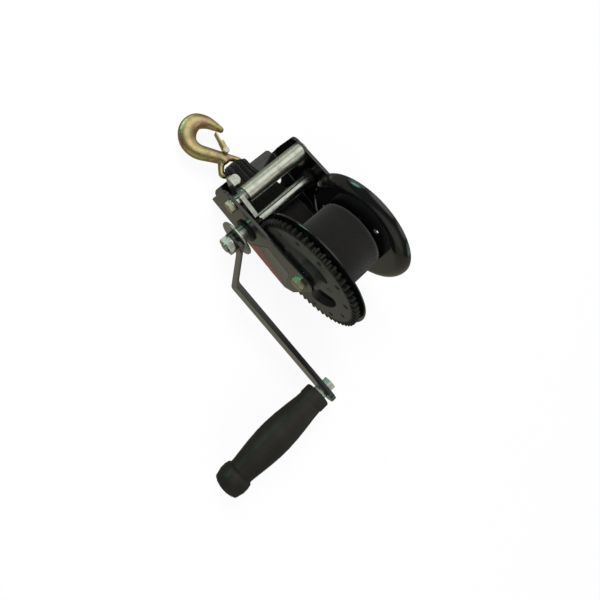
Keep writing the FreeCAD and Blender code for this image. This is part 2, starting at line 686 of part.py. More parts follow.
# turned outline of the grip: (radius, distance from grip_start)
GRIP_PROFILE = [
    ("grip_bore", 0.0), (12.6, 0.0), (13.6, 1.0), (13.6, 10.0), (12.9, 11.3), (13.4, 18.0),
    (14.9, 30.0), (16.2, 43.0), (16.8, 55.0), (16.6, 65.0), (15.6, 77.0), (14.2, 88.0),
    (13.1, 96.0), (12.8, 100.0), (14.6, 101.6), (15.5, 105.5), (15.5, 110.5), (13.4, 118.0),
    (12.0, 119.0), (9.2, 119.0),
]
RECESS_Y = 195.0  # floor of the recess round the lock nut
grip_points = [(radius, "grip_start + %s" % run) for radius, run in GRIP_PROFILE]
turned("grip", grip_points + [(9.2, RECESS_Y), ("grip_bore", RECESS_Y)], GRIP)
turned("grip_end_cap", [
    ("0", 204.0), (9.15, 204.0), (9.15, "grip_start + 119.0"), (10.6, "grip_start + 119.0"),
    (10.0, "grip_start + 120.0"), (6.0, "grip_end + 0.6"), ("0", "grip_end + 0.9"),
], GRIP)

# ------------------------------------------------------------- pawl pivot
# the far end of the tube has a neck that is peened over outside the plate;
# the near end is tapped for the bolt
TUBE_END = 27.4
turned("spacer_tube", [
    ("tube_bore", -43.3), (6.2, -43.3), (6.9, -42.8), (6.9, "-frame_half"),
    ("tube_neck", "-frame_half"), ("tube_neck", "-frame_inner"), ("tube_rad", "-frame_inner"),
    ("tube_rad", TUBE_END), ("tube_bore", TUBE_END),
], PAWL)
ring("pawl_bush", PAWL, "pawl_bolt_rad + 0.05", 5.6, TUBE_END, "frame_inner")
bolt("pawl_bolt", PAWL, "pawl_bolt_rad", shank=(10.0, 43.2),
     flats=10.0, head=(43.2, 47.2), turn=18)
ring("pawl_bolt_washer", PAWL, "pawl_bolt_rad + 0.05", 6.2, "frame_half", "frame_half + 1.2")

# -------------------------------------------------------------------- pawl
# flat lever that reaches over the pinion; it is drawn with its nose in the
# pinion gap nearest to 80 degrees, then swung clear
gap_step = 2 * math.pi / pinion_teeth
first_gap = line_angle + math.pi + gap_step / 2
gap = first_gap + round((math.radians(80.0) - first_gap) / gap_step) * gap_step
tip_x = shaft_x + 11.4 * math.cos(gap) - 0.2 * math.sin(gap)
tip_z = shaft_z + 11.4 * math.sin(gap) + 0.2 * math.cos(gap)
lean = gap - math.radians(15.0)
pawl_low, pawl_thick = size("pawl_y"), size("pawl_thick")


def off_tip(up, back):
    """Point measured from the nose's tip, up along the nose and back towards the drum."""
    return (tip_x + up * math.cos(lean) - back * math.sin(lean),
            tip_z + up * math.sin(lean) + back * math.cos(lean))


nose = [
    off_tip(0, 0.7), off_tip(4.6, 2.2), off_tip(8.0, 2.9),
    (pawl_x - 3.5, pawl_z + 8.3), (pawl_x + 3.5, pawl_z + 8.0),
    (pawl_x + 4.0, pawl_z - 6.5), (pawl_x - 2.0, pawl_z - 8.7),
    (shaft_x + 15.6 * math.cos(gap - 0.75), shaft_z + 15.6 * math.sin(gap - 0.75)),
    off_tip(6.0, -3.3), off_tip(2.6, -1.3), off_tip(0, -0.7),
]
boss = rod(9.0, pawl_low, pawl_low + pawl_thick, PAWL)
pawl = boss.fuse(plate(nose, pawl_low, pawl_thick)).removeSplitter()
# swing the nose up out of the teeth: the rest pose is the released one
RELEASE_ANGLE = 14.0
pawl.rotate(Vector(pawl_x, 0, pawl_z), Vector(0, 1, 0), RELEASE_ANGLE)
# lever, (x, z) from the pivot
LEVER = [(-6.0, 5.0), (6.0, -5.0), (15.0, 4.5), (20.0, 12.0), (18.5, 16.5), (12.0, 17.5),
         (6.0, 11.5)]
lever = [(pawl_x + x, pawl_z + z) for x, z in LEVER]
pawl = pawl.fuse(plate(lever, pawl_low, pawl_thick))
# tab at the lever's end, standing inwards (-Y) from its outer face
tab = Part.makeBox(8.6, 8.5, 2.6, Vector(-4.3, -8.5, -1.3))
tab = tab.makeFillet(3.6, [e for e in tab.Edges if along(e, "z") and mid(e).y < -6])
tab.Placement = Placement(Vector(pawl_x + 14.2, pawl_low + pawl_thick, pawl_z + 15.4),
                          Rotation(Vector(0, 1, 0), 14))
pawl = pawl.fuse(tab).removeSplitter()
shape_part("pawl", pawl.cut(rod(5.65, 20, 45, PAWL)))

coil_of_rings("pawl_spring", coil_rad=6.9, wire_rad=0.42, start=Vector(pawl_x, 28.45, pawl_z),
              step=0.8, axis=Vector(0, 1, 0), count=4)

# --------------------------------------------------------------- strap run
loop_x, loop_z, hook_y = size("loop_x"), size("loop_z"), size("hook_y")
loop_half, loop_rad = size("loop_half"), size("loop_rad")
strap_thick = size("strap_thick")


def strap_section(x, y, half, z, thick):
    """Rectangle across the strap, centred at (x, y, z)."""
    rise = thick / 2.0
    corners = [Vector(x, y + across, z + up) for across, up in
               ((-half, -rise), (half, -rise), (half, rise), (-half, rise), (-half, -rise))]
    return Part.makePolygon(corners)


# stations from the drum to the hook: (x, y, half width, z, thickness)
STRAP_STATIONS = [
    (drum_x - 2.0, size("strap_side"), size("strap_half"), size("run_z") - strap_thick / 2,
     strap_thick),
    (shaft_x - 4.0, 4.0, 21.0, 21.6, 2.6),
    (loop_x - 17.0, hook_y - 1.5, 12.0, 18.2, 4.4),
    (loop_x - 4.6, hook_y, loop_half, loop_z, 5.4),
]
strap = Part.makeLoft([strap_section(*station) for station in STRAP_STATIONS], True, True)
# the turned-back end: a barrel round the hook's bar, its edges drawn in between
# the arms of the hook; (radius, Y from the hook's centre line)
BARREL = [(0, -loop_half), (3.6, -loop_half), (loop_rad, -4.7), (loop_rad, 4.7),
          (3.6, loop_half), (0, loop_half), (0, -loop_half)]
barrel_outline = Part.makePolygon([Vector(loop_x + radius, hook_y + y, loop_z)
                                   for radius, y in BARREL])
barrel = Part.Face(barrel_outline).revolve(Vector(loop_x, hook_y, loop_z), Vector(0, 1, 0), 360)
strap = strap.fuse(barrel)
strap = strap.cut(rod("loop_bore", hook_y - 30, hook_y + 30, (loop_x, loop_z)))
shape_part("strap_run", strap.removeSplitter())


# --------------------------------------------------------------- snap hook
def smooth_line(points, steps):
    """Catmull-Rom run through rows of numbers."""
    out = []
    last = len(points) - 1
    for i in range(last):
        rows = (points[max(i - 1, 0)], points[i], points[i + 1], points[min(i + 2, last)])
        for k in range(steps):
            t = k / steps
            out.append(tuple(
                0.5 * (2 * b + (c - a) * t + (2 * a - 5 * b + 4 * c - d) * t * t
                       + (3 * b - a - 3 * c + d) * t ** 3)
                for a, b, c, d in zip(*rows)))
    out.append(tuple(points[-1]))
    return out


def ellipse_wire(x, y, heading, half_width, half_height):
    """Upright ellipse across a line that passes (x, y) with this heading."""
    wire = Part.Wire([Part.Ellipse(Vector(0, 0, 0), half_width, half_height).toShape()])
    along_x, along_y = math.cos(heading), math.sin(heading)
    wire.transformShape(FreeCAD.Matrix(-along_y, 0, along_x, x,
                                       along_x, 0, along_y, y,
                                       0, 1, 0, loop_z,
                                       0, 0, 0, 1))
    return wire


def bar_loft(rows):
    """Bar of elliptical section along rows of (x, y, half width, half height)."""
    wires = []
    for i, (x, y, half_width, half_height) in enumerate(rows):
        before, after = rows[max(i - 1, 0)], rows[min(i + 1, len(rows) - 1)]
        heading = math.atan2(after[1] - before[1], after[0] - before[0])
        # an ellipse needs its major radius to be the larger one
        major = max(half_width, half_height + 0.01)
        wires.append(ellipse_wire(x, y, heading, major, half_height))
    bar = Part.makeLoft(wires, True, True)
    if bar.Volume < 0:
        bar.reverse()
    return bar


# centre line from the neck round to the tip: (x, y, half width, half height)
HOOK_LINE = [
    (59.5, 12.0, 5.6, 4.6), (65.0, 13.6, 5.8, 4.9), (73.0, 20.0, 6.4, 5.2),
    (83.0, 27.6, 7.2, 5.5), (93.5, 28.4, 7.9, 5.8), (101.6, 21.4, 8.3, 5.8),
    (103.4, 11.4, 7.4, 5.6), (98.0, 3.8, 6.0, 5.0), (91.0, -0.4, 4.4, 4.0),
    (85.0, -3.2, 2.8, 2.9),
]
# rounding beyond the two ends: (distance beyond, scale of the end section)
BUTT_ROUND = ((1.5, 0.45), (1.1, 0.75), (0.5, 0.93))
TIP_ROUND = ((0.9, 0.95), (1.7, 0.80), (2.3, 0.57), (2.65, 0.30))
hook_line = smooth_line(HOOK_LINE, 4)
x, y, width, height = hook_line[-1]
tip_heading = math.atan2(y - hook_line[-2][1], x - hook_line[-2][0])
tip = [(x + beyond * math.cos(tip_heading), y + beyond * math.sin(tip_heading),
        width * scale, height * scale) for beyond, scale in TIP_ROUND]
x, y, width, height = hook_line[0]
butt = [(x - beyond, y, width * scale, height * scale) for beyond, scale in BUTT_ROUND]
bowl = bar_loft(butt + hook_line + tip)

# eye: a bar through the strap loop and two curved arms that run together into
# the neck; half of it as (x, distance from hook_y, bar radius)
bar_rad = size("eye_bar_rad")
ARM_POINTS = [(loop_x + 3.6, 11.0, bar_rad), (loop_x + 7.6, 8.1, bar_rad),
              (loop_x + 11.2, 4.6, bar_rad + 0.5), (loop_x + 15.0, 1.2, bar_rad + 0.7)]
half_eye = smooth_line(ARM_POINTS, 3)[::-1]
for degrees in (22.5, 45.0, 67.5, 90.0):
    outward, back = polar(3.6, degrees)
    half_eye.append((loop_x + 3.6 - back, loop_half + outward, bar_rad))
eye_line = [(x, hook_y - side, radius, radius) for x, side, radius in half_eye]
eye_line += [(x, hook_y + side, radius, radius) for x, side, radius in half_eye[::-1]]
eye = bar_loft(eye_line)

LATCH_X, LATCH_Y = 67.6, 6.2  # latch pin


def post(radius, low, high):
    """Upright cylinder on the latch pin's axis; heights are from the hook's mid plane."""
    return Part.makeCylinder(radius, high - low, Vector(LATCH_X, LATCH_Y, loop_z + low),
                             Vector(0, 0, 1))


LUG_HALF = 2.5
lug = post(2.9, -LUG_HALF, LUG_HALF).fuse(
    Part.makeBox(5.2, 6.4, 2 * LUG_HALF, Vector(64.2, LATCH_Y, loop_z - LUG_HALF)))
hook = bowl.fuse(eye).fuse(lug)
# spot faces above and below the lug for the ears and the spring
hook = hook.cut(post(3.8, LUG_HALF, LUG_HALF + 10.0))
hook = hook.cut(post(3.8, -LUG_HALF - 10.0, -LUG_HALF))
hook = hook.cut(post(1.5, -15.0, 15.0))
shape_part("hook_body", hook)

pin = post(1.5, -6.2, 6.2).fuse([post(2.4, 5.6, 6.5), post(2.4, -6.5, -5.6)])
shape_part("latch_pin", pin.removeSplitter())

# latch: folded sheet, a tongue with two ears on the pin; built along +X from
# the pin, then turned towards the inside of the hook's tip
LATCH_END_X, LATCH_END_Y = 86.2, 2.4
reach_x, reach_y = LATCH_END_X - LATCH_X, LATCH_END_Y - LATCH_Y
tongue = Part.makeBox(math.hypot(reach_x, reach_y) - 4.0, 1.3, 8.6, Vector(3.2, -0.2, -4.3))
ears = []
for low in (-5.5, 4.3):
    ear = Part.makeCylinder(3.0, 1.2, Vector(0, 0, low), Vector(0, 0, 1))
    ears.append(ear.fuse(Part.makeBox(9.0, 3.2, 1.2, Vector(0, -2.1, low))))
bridge = Part.makeBox(6.0, 1.3, 11.0, Vector(3.4, -0.2, -5.5))
latch = tongue.fuse(ears + [bridge]).removeSplitter()
latch = latch.cut(Part.makeCylinder(1.56, 20, Vector(0, 0, -10), Vector(0, 0, 1)))
latch = latch.rotated(Vector(0, 0, 0), Vector(0, 0, 1),
                      math.degrees(math.atan2(reach_y, reach_x)))
latch.translate(Vector(LATCH_X, LATCH_Y, loop_z))
shape_part("hook_latch", latch)

coil_of_rings("latch_spring", coil_rad=2.2, wire_rad=0.3,
              start=Vector(LATCH_X, LATCH_Y, loop_z + 2.95),
              step=0.45, axis=Vector(0, 0, 1), count=3)

# --------------------------------------------------------------- write out
doc.recompute()
bad = [obj.Name + " " + str(obj.State) for obj in doc.Objects
       if "Invalid" in obj.State or "Error" in obj.State]
if bad:
    raise RuntimeError("failed objects: " + "; ".join(bad))
for piece in pieces:
    shape = piece.Shape
    if shape.isNull() or not shape.isValid() or shape.Volume <= 0 or not shape.Solids:
        raise RuntimeError("bad shape: " + piece.Label)
os.makedirs("parts", exist_ok=True)
for piece in pieces:
    piece.Shape.exportStep("parts/" + piece.Label + ".step")
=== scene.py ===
# A hand-cranked strap winch: a frame with a geared drum, a crank with a grip, and a webbing
# strap that ends in a forged hook. Metres, +Z up. The drum's axis lies along Y, the strap
# leads off under the drum towards the hook at +X, and the floor is just below z = 0.
import math
import random

import bpy
import bmesh
from mathutils import Matrix, Vector, noise

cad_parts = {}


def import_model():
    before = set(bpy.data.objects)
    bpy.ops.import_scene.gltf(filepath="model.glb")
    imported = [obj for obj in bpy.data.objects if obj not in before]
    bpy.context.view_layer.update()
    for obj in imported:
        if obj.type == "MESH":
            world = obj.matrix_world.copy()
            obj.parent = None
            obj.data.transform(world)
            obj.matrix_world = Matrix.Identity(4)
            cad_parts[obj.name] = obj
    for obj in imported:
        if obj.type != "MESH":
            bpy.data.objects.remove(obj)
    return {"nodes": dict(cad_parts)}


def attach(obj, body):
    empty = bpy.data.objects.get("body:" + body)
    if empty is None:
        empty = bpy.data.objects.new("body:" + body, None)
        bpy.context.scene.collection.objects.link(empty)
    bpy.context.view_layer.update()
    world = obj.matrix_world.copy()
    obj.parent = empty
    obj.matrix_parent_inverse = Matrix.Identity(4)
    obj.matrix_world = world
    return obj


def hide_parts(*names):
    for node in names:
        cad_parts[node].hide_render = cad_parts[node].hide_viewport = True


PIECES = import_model()["nodes"]
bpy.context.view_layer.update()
random.seed(11)

MM = 0.001  # the webbing is laid out in millimetres
DRUM_X, DRUM_Z = -62.0, 63.0  # drum axis
BAR_X, BAR_Z = 50.0, 17.0  # axis of the bar the strap loops round

# ---------------------------------------------------------------- node helpers


class Nodes:
    """Builds a node tree. A node given as a value stands for its first output."""

    def __init__(self, owner):
        owner.use_nodes = True
        self.tree = owner.node_tree
        self.tree.nodes.clear()
        self.coord = None

    def feed(self, socket, value):
        """Link a node or socket to an input, or set the input's value; None leaves it."""
        if isinstance(value, bpy.types.Node):
            value = value.outputs[0]
        if isinstance(value, bpy.types.NodeSocket):
            self.tree.links.new(value, socket)
        elif value is not None:
            socket.default_value = (*value, 1.0) if socket.type == "RGBA" else value

    def set(self, node, **values):
        """Set properties, or inputs by name with underscores for spaces."""
        for key, value in values.items():
            if hasattr(node, key):
                setattr(node, key, value)
            else:
                self.feed(node.inputs[key.replace("_", " ")], value)

    def new(self, kind, *inputs, **values):
        node = self.tree.nodes.new("ShaderNode" + kind)
        self.set(node, **values)
        for i, value in enumerate(inputs):
            self.feed(node.inputs[i], value)
        return node

    def coordinates(self, source):
        if self.coord is None:
            self.coord = self.new("TexCoord")
        return self.coord.outputs[source]

    def xyz(self, source):
        return self.new("SeparateXYZ", self.coordinates(source)).outputs

    def noise(self, scale, detail=3.0, rough=0.5, stretch=(1, 1, 1), distortion=0.0):
        place = self.new("Mapping", Vector=self.coordinates("Object"), Scale=stretch)
        return self.new("TexNoise", Vector=place, Scale=scale, Detail=detail,
                        Roughness=rough, Distortion=distortion)

    def ramp(self, value, stops):
        node = self.new("ValToRGB", value)
        elements = node.color_ramp.elements
        while len(elements) > 1:
            elements.remove(elements[-1])
        elements[0].position = stops[0][0]
        elements[0].color = (*stops[0][1], 1.0)
        for position, colour in stops[1:]:
            elements.new(position).color = (*colour, 1.0)
        return node

    def remap(self, value, span, to=(0.0, 1.0), **options):
        """Map the span of values onto the range in to, held at both ends."""
        return self.new("MapRange", Value=value, From_Min=span[0], From_Max=span[1],
                        To_Min=to[0], To_Max=to[1], **options)

    def math(self, operation, a, b=None, clamp=False):
        return self.new("Math", a, b, operation=operation, use_clamp=clamp)

    def dot(self, a, b):
        return self.new("VectorMath", a, b, operation="DOT_PRODUCT").outputs["Value"]

    def mix(self, factor, a, b):
        node = self.new("Mix", factor, data_type="RGBA")
        # sockets 6, 7 and output 2 are the colour ones
        self.feed(node.inputs[6], a)
        self.feed(node.inputs[7], b)
        return node.outputs[2]

    def bump(self, height, strength, distance, normal=None):
        return self.new("Bump", Strength=strength, Distance=distance,
                        Height=height, Normal=normal)

    def edge_mask(self, radius=0.0006):
        """1 near sharp edges, 0 on flats."""
        rounded = self.new("Bevel", samples=4, Radius=radius)
        facing = self.dot(rounded, self.new("NewGeometry").outputs["Normal"])
        return self.remap(facing, span=(0.90, 0.995), to=(1.0, 0.0))


class Surface(Nodes):
    """A material round one Principled shader."""

    def __init__(self, name):
        self.material = bpy.data.materials.new(name)
        super().__init__(self.material)
        self.output = self.new("OutputMaterial")
        self.bsdf = self.new("BsdfPrincipled")
        self.set(self.output, Surface=self.bsdf)

    def principled(self, **values):
        self.set(self.bsdf, **values)
        return self.material


# ---------------------------------------------------------------- materials


def scaled(colour, factor):
    return tuple(channel * factor for channel in colour)


def black_paint(name, rough, coat, peel, wear=0.35, tint=(0.0045, 0.0045, 0.005)):
    """Black coat with dust specks, chipped edges, smears and orange peel."""
    look = Surface(name)
    cloud = look.noise(scale=38.0, detail=4.0, rough=0.55)
    base = look.ramp(cloud, [(0.30, tint), (0.75, scaled(tint, 1.9))])
    dust = look.noise(scale=900.0, detail=2.0, rough=0.6)
    specks = look.remap(dust, span=(0.70, 0.80))
    dusty = look.mix(look.math("MULTIPLY", specks, 0.10), base, (0.06, 0.06, 0.058))
    edge = look.edge_mask()
    flakes = look.noise(scale=520.0, detail=5.0, rough=0.7)
    chip = look.math("MULTIPLY", edge, look.remap(flakes, span=(0.52, 0.66)), clamp=True)
    worn = look.mix(look.math("MULTIPLY", chip, wear), dusty, (0.10, 0.10, 0.10))
    smear = look.noise(scale=16.0, detail=5.0, rough=0.6, stretch=(1, 2.5, 1))
    smeared = look.remap(smear, span=(0.3, 0.75), to=(rough * 0.75, rough * 1.6))
    return look.principled(
        Base_Color=worn,
        Roughness=look.math("ADD", smeared, look.math("MULTIPLY", chip, 0.25), clamp=True),
        Specular_IOR_Level=0.5, Coat_Weight=coat, Coat_Roughness=rough * 0.55,
        Normal=look.bump(look.noise(scale=420.0, detail=2.0), strength=peel, distance=0.0002))


def gear_coat(name):
    """Phosphated steel: grey flat face whose lightness is partly a painted reflection, darker and
    duller towards the teeth.
    """
    look = Surface(name)
    place = look.xyz("Object")
    across = look.math("POWER", look.math("ADD", place["X"], -DRUM_X * MM), 2.0)
    up = look.math("POWER", look.math("SUBTRACT", place["Z"], DRUM_Z * MM), 2.0)
    radius = look.math("SQRT", look.math("ADD", across, up))
    wave = look.noise(scale=300.0, rough=0.6)
    ragged = look.math("ADD", radius, look.remap(wave, span=(0.3, 0.7), to=(-0.0008, 0.0008)))
    rim = look.remap(ragged, span=(0.0525, 0.0545))  # darker and duller beyond this radius, metres
    cloud = look.noise(scale=48.0, detail=4.0, rough=0.6)
    # the face: the steel's own grey, lifted lighter as a painted reflection
    face = look.ramp(cloud, [(0.3, (0.070, 0.069, 0.063)), (0.75, (0.112, 0.110, 0.100))])
    # a darker colour for the teeth beyond the rim radius
    teeth_colour = look.ramp(wave, [(0.3, (0.0035, 0.0035, 0.0032)), (0.7, (0.012, 0.011, 0.010))])
    face_and_teeth_colour = look.mix(rim, face, teeth_colour)
    edge = look.edge_mask(radius=0.0004)
    rub = look.noise(scale=700.0, detail=4.0, rough=0.7)
    bare = look.remap(rub, span=(0.5, 0.7), to=(0.0, 0.5))
    chip = look.math("MULTIPLY", edge, bare, clamp=True)
    dull = look.remap(cloud, span=(0.3, 0.7), to=(0.30, 0.44))
    return look.principled(
        Base_Color=look.mix(chip, face_and_teeth_colour, (0.085, 0.083, 0.078)),
        Roughness=look.math("ADD", dull, look.math("MULTIPLY", rim, 0.12), clamp=True),
        Specular_IOR_Level=0.5, Metallic=0.15,
        Normal=look.bump(rub, strength=0.12, distance=0.00015))


# how the fine lines are stretched: rings round Y on turned parts, lines along Y on drawn ones
LINES = {None: (1, 1, 1), "turned": (0.02, 1, 0.02), "drawn": (1, 0.02, 1)}


def metal(name, stops, rough, lines=None, streak=0.25, cloud=60.0, dents=0.12):
    """Plated steel: tinted plating clouds, fine machining lines, small handling marks."""
    look = Surface(name)
    tint = look.noise(scale=cloud, rough=0.55, distortion=0.8)
    base = look.ramp(tint, stops)
    fine = look.noise(scale=5200.0 if lines else 1400.0, detail=2.0, rough=0.6,
                      stretch=LINES[lines])
    grime = look.noise(scale=140.0, detail=5.0, rough=0.65)
    shade = look.remap(grime, span=(0.46, 0.74), to=(1.0, 0.72))
    brushed = look.remap(fine, span=(0.3, 0.7), to=(rough * 0.75, rough * 1.3))
    dirty = look.remap(grime, span=(0.45, 0.75), to=(0.0, 0.16))
    grooves = look.bump(fine, strength=streak, distance=0.00004)
    marks = look.noise(scale=260.0, rough=0.6)
    return look.principled(
        Base_Color=look.new("HueSaturation", Color=base, Value=shade),
        Roughness=look.math("ADD", brushed, dirty, clamp=True),
        Metallic=1.0,
        Normal=look.bump(marks, strength=dents, distance=0.0002, normal=grooves))


def plastic(name, colour, rough, grain, strength):
    """Moulded plastic; grain is the scale of its texture and strength its depth."""
    look = Surface(name)
    cloud = look.noise(scale=45.0)
    rub = look.noise(scale=70.0, detail=4.0, rough=0.6)
    texture = look.noise(scale=grain, detail=2.0, rough=0.6)
    return look.principled(
        Base_Color=look.ramp(cloud, [(0.3, colour), (0.8, scaled(colour, 1.6))]),
        Roughness=look.remap(rub, span=(0.3, 0.7), to=(rough * 0.8, rough * 1.2)),
        Specular_IOR_Level=0.42,
        Normal=look.bump(texture, strength=strength, distance=0.0001))


def woven_webbing(name):
    """Woven polyester: UV is in millimetres, U along the strap, V across it."""
    cord_pitch = 0.85  # warp cords across V
    weft_pitch = 2.48  # weft crossings along U, stepping a quarter pitch from cord to cord
    look = Surface(name)
    place = look.xyz("UV")
    wave = look.math("MULTIPLY", place["Y"], math.pi / cord_pitch)
    warp = look.math("ABSOLUTE", look.math("SINE", wave))
    cord = look.math("FLOOR", look.math("DIVIDE", place["Y"], cord_pitch))
    along = look.math("ADD", place["X"], look.math("MULTIPLY", cord, weft_pitch / 4))
    weft = look.math("SINE", look.math("MULTIPLY", along, 2 * math.pi / weft_pitch))
    weft_height = look.remap(weft, span=(-1.0, 1.0))
    height = look.math("MULTIPLY", warp,
                       look.remap(weft_height, span=(0.0, 1.0), to=(0.55, 1.0)))
    fuzz = look.noise(scale=3200.0, rough=0.7)
    shade = look.noise(scale=26.0, detail=4.0, rough=0.6)
    # colour follows the weave height: painted shade in the hollows between the cords, lighter on
    # the cord crowns
    base = look.ramp(height, [(0.0, (0.0035, 0.003, 0.0028)), (0.55, (0.012, 0.0105, 0.0095)),
                              (1.0, (0.022, 0.0195, 0.018))])
    faded = look.mix(look.remap(shade, span=(0.45, 0.75), to=(0.0, 0.5)),
                     base, (0.016, 0.013, 0.011))
    lint = look.math("MULTIPLY", look.remap(fuzz, span=(0.66, 0.78)), 0.25)
    weave = look.bump(height, strength=0.7, distance=0.0003)
    return look.principled(
        Base_Color=look.mix(lint, faded, (0.055, 0.05, 0.046)),
        Roughness=0.82, Specular_IOR_Level=0.25, Sheen_Weight=0.25, Sheen_Roughness=0.45,
        Normal=look.bump(fuzz, strength=0.25, distance=0.0001, normal=weave))


def label_film(name):
    """Plain grey film with a red band, topped by a dark line, along its lower edge."""
    start_x, rise = 0.0474, 0.3176  # the band climbs towards +X from x = -start_x
    band_top, line_top = 0.0172, 0.0180
    look = Surface(name)
    place = look.xyz("Object")
    slope = look.math("MULTIPLY", look.math("ADD", place["X"], start_x), rise)
    level = look.math("SUBTRACT", place["Z"], slope)
    band = look.math("LESS_THAN", level, band_top)
    line = look.math("LESS_THAN", level, line_top)
    film = look.noise(scale=60.0)
    grey = look.ramp(film, [(0.3, (0.165, 0.148, 0.128)), (0.8, (0.215, 0.195, 0.168))])
    red = look.ramp(film, [(0.3, (0.56, 0.125, 0.105)), (0.8, (0.66, 0.175, 0.145))])
    printed = look.mix(band, look.mix(line, grey, (0.10, 0.10, 0.10)), red)
    scratches = look.noise(scale=700.0, rough=0.7, stretch=(1, 1, 0.08))
    scratched = look.remap(scratches, span=(0.68, 0.76), to=(0.0, 0.35))
    return look.principled(
        Base_Color=look.mix(scratched, printed, (0.09, 0.085, 0.08)),
        Roughness=look.remap(film, span=(0.3, 0.7), to=(0.16, 0.34)),
        Specular_IOR_Level=0.55,
        Normal=look.bump(look.noise(scale=240.0, detail=2.0), strength=0.12, distance=0.0002))


# plating tints: place on the cloud ramp, colour
ZINC = [(0.25, (0.42, 0.48, 0.45)), (0.45, (0.56, 0.58, 0.54)),
        (0.62, (0.63, 0.63, 0.60)), (0.80, (0.52, 0.56, 0.55))]
TUBE_ZINC = [(0.3, (0.66, 0.67, 0.60)), (0.55, (0.78, 0.78, 0.70)), (0.8, (0.70, 0.71, 0.64))]
YELLOW = [(0.25, (0.55, 0.60, 0.24)), (0.40, (0.74, 0.64, 0.28)), (0.52, (0.80, 0.66, 0.32)),
          (0.64, (0.76, 0.52, 0.32)), (0.80, (0.58, 0.62, 0.27))]
PALE_YELLOW = [(0.30, (0.62, 0.63, 0.46)), (0.50, (0.74, 0.70, 0.53)),
               (0.72, (0.66, 0.62, 0.44))]
SPRING = [(0.3, (0.62, 0.62, 0.60)), (0.8, (0.50, 0.50, 0.49))]

# each material with the pieces that wear it, and their edge bevels in mm (0 for none)
FINISHES = [
    (black_paint("gloss_black_paint", rough=0.11, coat=0.6, peel=0.10),
     {"frame": 0.35, "near_flange": 0, "far_flange": 0, "drum_core": 0, "crank_arm": 0.45}),
    (gear_coat("satin_black_gear"), {"drum_gear": 0.16, "gear_rivets": 0}),
    (black_paint("oiled_black_steel", rough=0.26, coat=0.25, peel=0.12, wear=0.9,
                 tint=(0.010, 0.010, 0.010)),
     {"drive_pinion": 0.14}),
    (metal("clear_zinc_drawn", ZINC, rough=0.20, lines="drawn", streak=0.20),
     {"pinion_shaft": 0.15, "drum_sleeve": 0, "grip_bolt": 0.16}),
    (metal("clear_zinc_tube", TUBE_ZINC, rough=0.30, lines="drawn", streak=0.15),
     {"spacer_tube": 0.2}),
    (metal("clear_zinc_turned", ZINC, rough=0.20, lines="turned", streak=0.35),
     {"crank_washer": 0.15, "crank_nut": 0.16, "pawl_bush": 0.12, "drum_bolt_washer": 0.2,
      "pawl_bolt_washer": 0.18, "grip_bolt_washer": 0.1, "grip_jam_nut": 0.14,
      "grip_lock_nut": 0.14, "strap_anchor_bolt": 0.12, "strap_anchor_nut": 0.12}),
    (metal("clear_zinc_pressed", ZINC, rough=0.24, streak=0.10),
     {"crank_hub": 0.2, "pawl": 0.35, "latch_pin": 0}),
    (metal("yellow_zinc_forged", YELLOW, rough=0.36, streak=0.14, cloud=34.0, dents=0.16),
     {"hook_body": 0, "hook_latch": 0.15}),
    (metal("yellow_zinc_turned", PALE_YELLOW, rough=0.30, lines="turned", streak=0.22,
           cloud=30.0),
     {"drum_bolt": 0.18, "drum_bolt_nut": 0.18, "pawl_bolt": 0.16}),
    (metal("spring_wire", SPRING, rough=0.22, streak=0.1),
     {"pawl_spring": 0, "latch_spring": 0, "shaft_circlip": 0.08}),
    (plastic("black_nylon", (0.012, 0.012, 0.012), rough=0.38, grain=1500.0, strength=0.15),
     {"drum_bush_near": 0.2, "drum_bush_far": 0.2, "shaft_bush_near": 0.2,
      "shaft_bush_far": 0.2}),
    (plastic("grip_plastic", (0.011, 0.0085, 0.0075), rough=0.50, grain=2300.0, strength=0.45),
     {"grip": 0, "grip_end_cap": 0}),
    (label_film("label_film"), {"side_label": 0}),
]
WEBBING = woven_webbing("black_webbing")

# ---------------------------------------------------------------- CAD pieces


def put_on(obj, material):
    obj.data.materials.clear()
    obj.data.materials.append(material)


def shade_smooth(mesh):
    for poly in mesh.polygons:
        poly.use_smooth = True


def modify(obj, name, kind, **settings):
    modifier = obj.modifiers.new(name, kind)
    for key, value in settings.items():
        setattr(modifier, key, value)


def crisp_edges(obj, bevel_mm):
    """Merge the flats, round the edges a little and keep the shading clean."""
    modify(obj, "weld", "WELD", merge_threshold=2e-6)
    modify(obj, "flat", "DECIMATE", decimate_type="DISSOLVE", angle_limit=math.radians(0.6))
    if bevel_mm:
        modify(obj, "edge", "BEVEL", width=bevel_mm * MM, segments=2, limit_method="ANGLE",
               angle_limit=math.radians(32), use_clamp_overlap=True, harden_normals=False)
    modify(obj, "tri", "TRIANGULATE", min_vertices=5)
    modify(obj, "split", "EDGE_SPLIT", split_angle=math.radians(38))
    modify(obj, "wn", "WEIGHTED_NORMAL", keep_sharp=True)


def forged_skin(obj):
    """A voxel skin over the solid, relaxed so that its parts flow together."""
    obj.modifiers.clear()
    modify(obj, "skin", "REMESH", mode="VOXEL", voxel_size=0.45 * MM, use_smooth_shade=True)
    modify(obj, "relax", "SMOOTH", factor=0.5, iterations=14)


for finish, bevels in FINISHES:
    for piece_name, bevel_width in bevels.items():
        piece = PIECES[piece_name]
        put_on(piece, finish)
        shade_smooth(piece.data)
        if piece_name == "hook_body":
            forged_skin(piece)
        else:
            crisp_edges(piece, bevel_width)

# ---------------------------------------------------------------- webbing helpers


def link_object(name, data):
    obj = bpy.data.objects.new(name, data)
    bpy.context.scene.collection.objects.link(obj)
    return obj


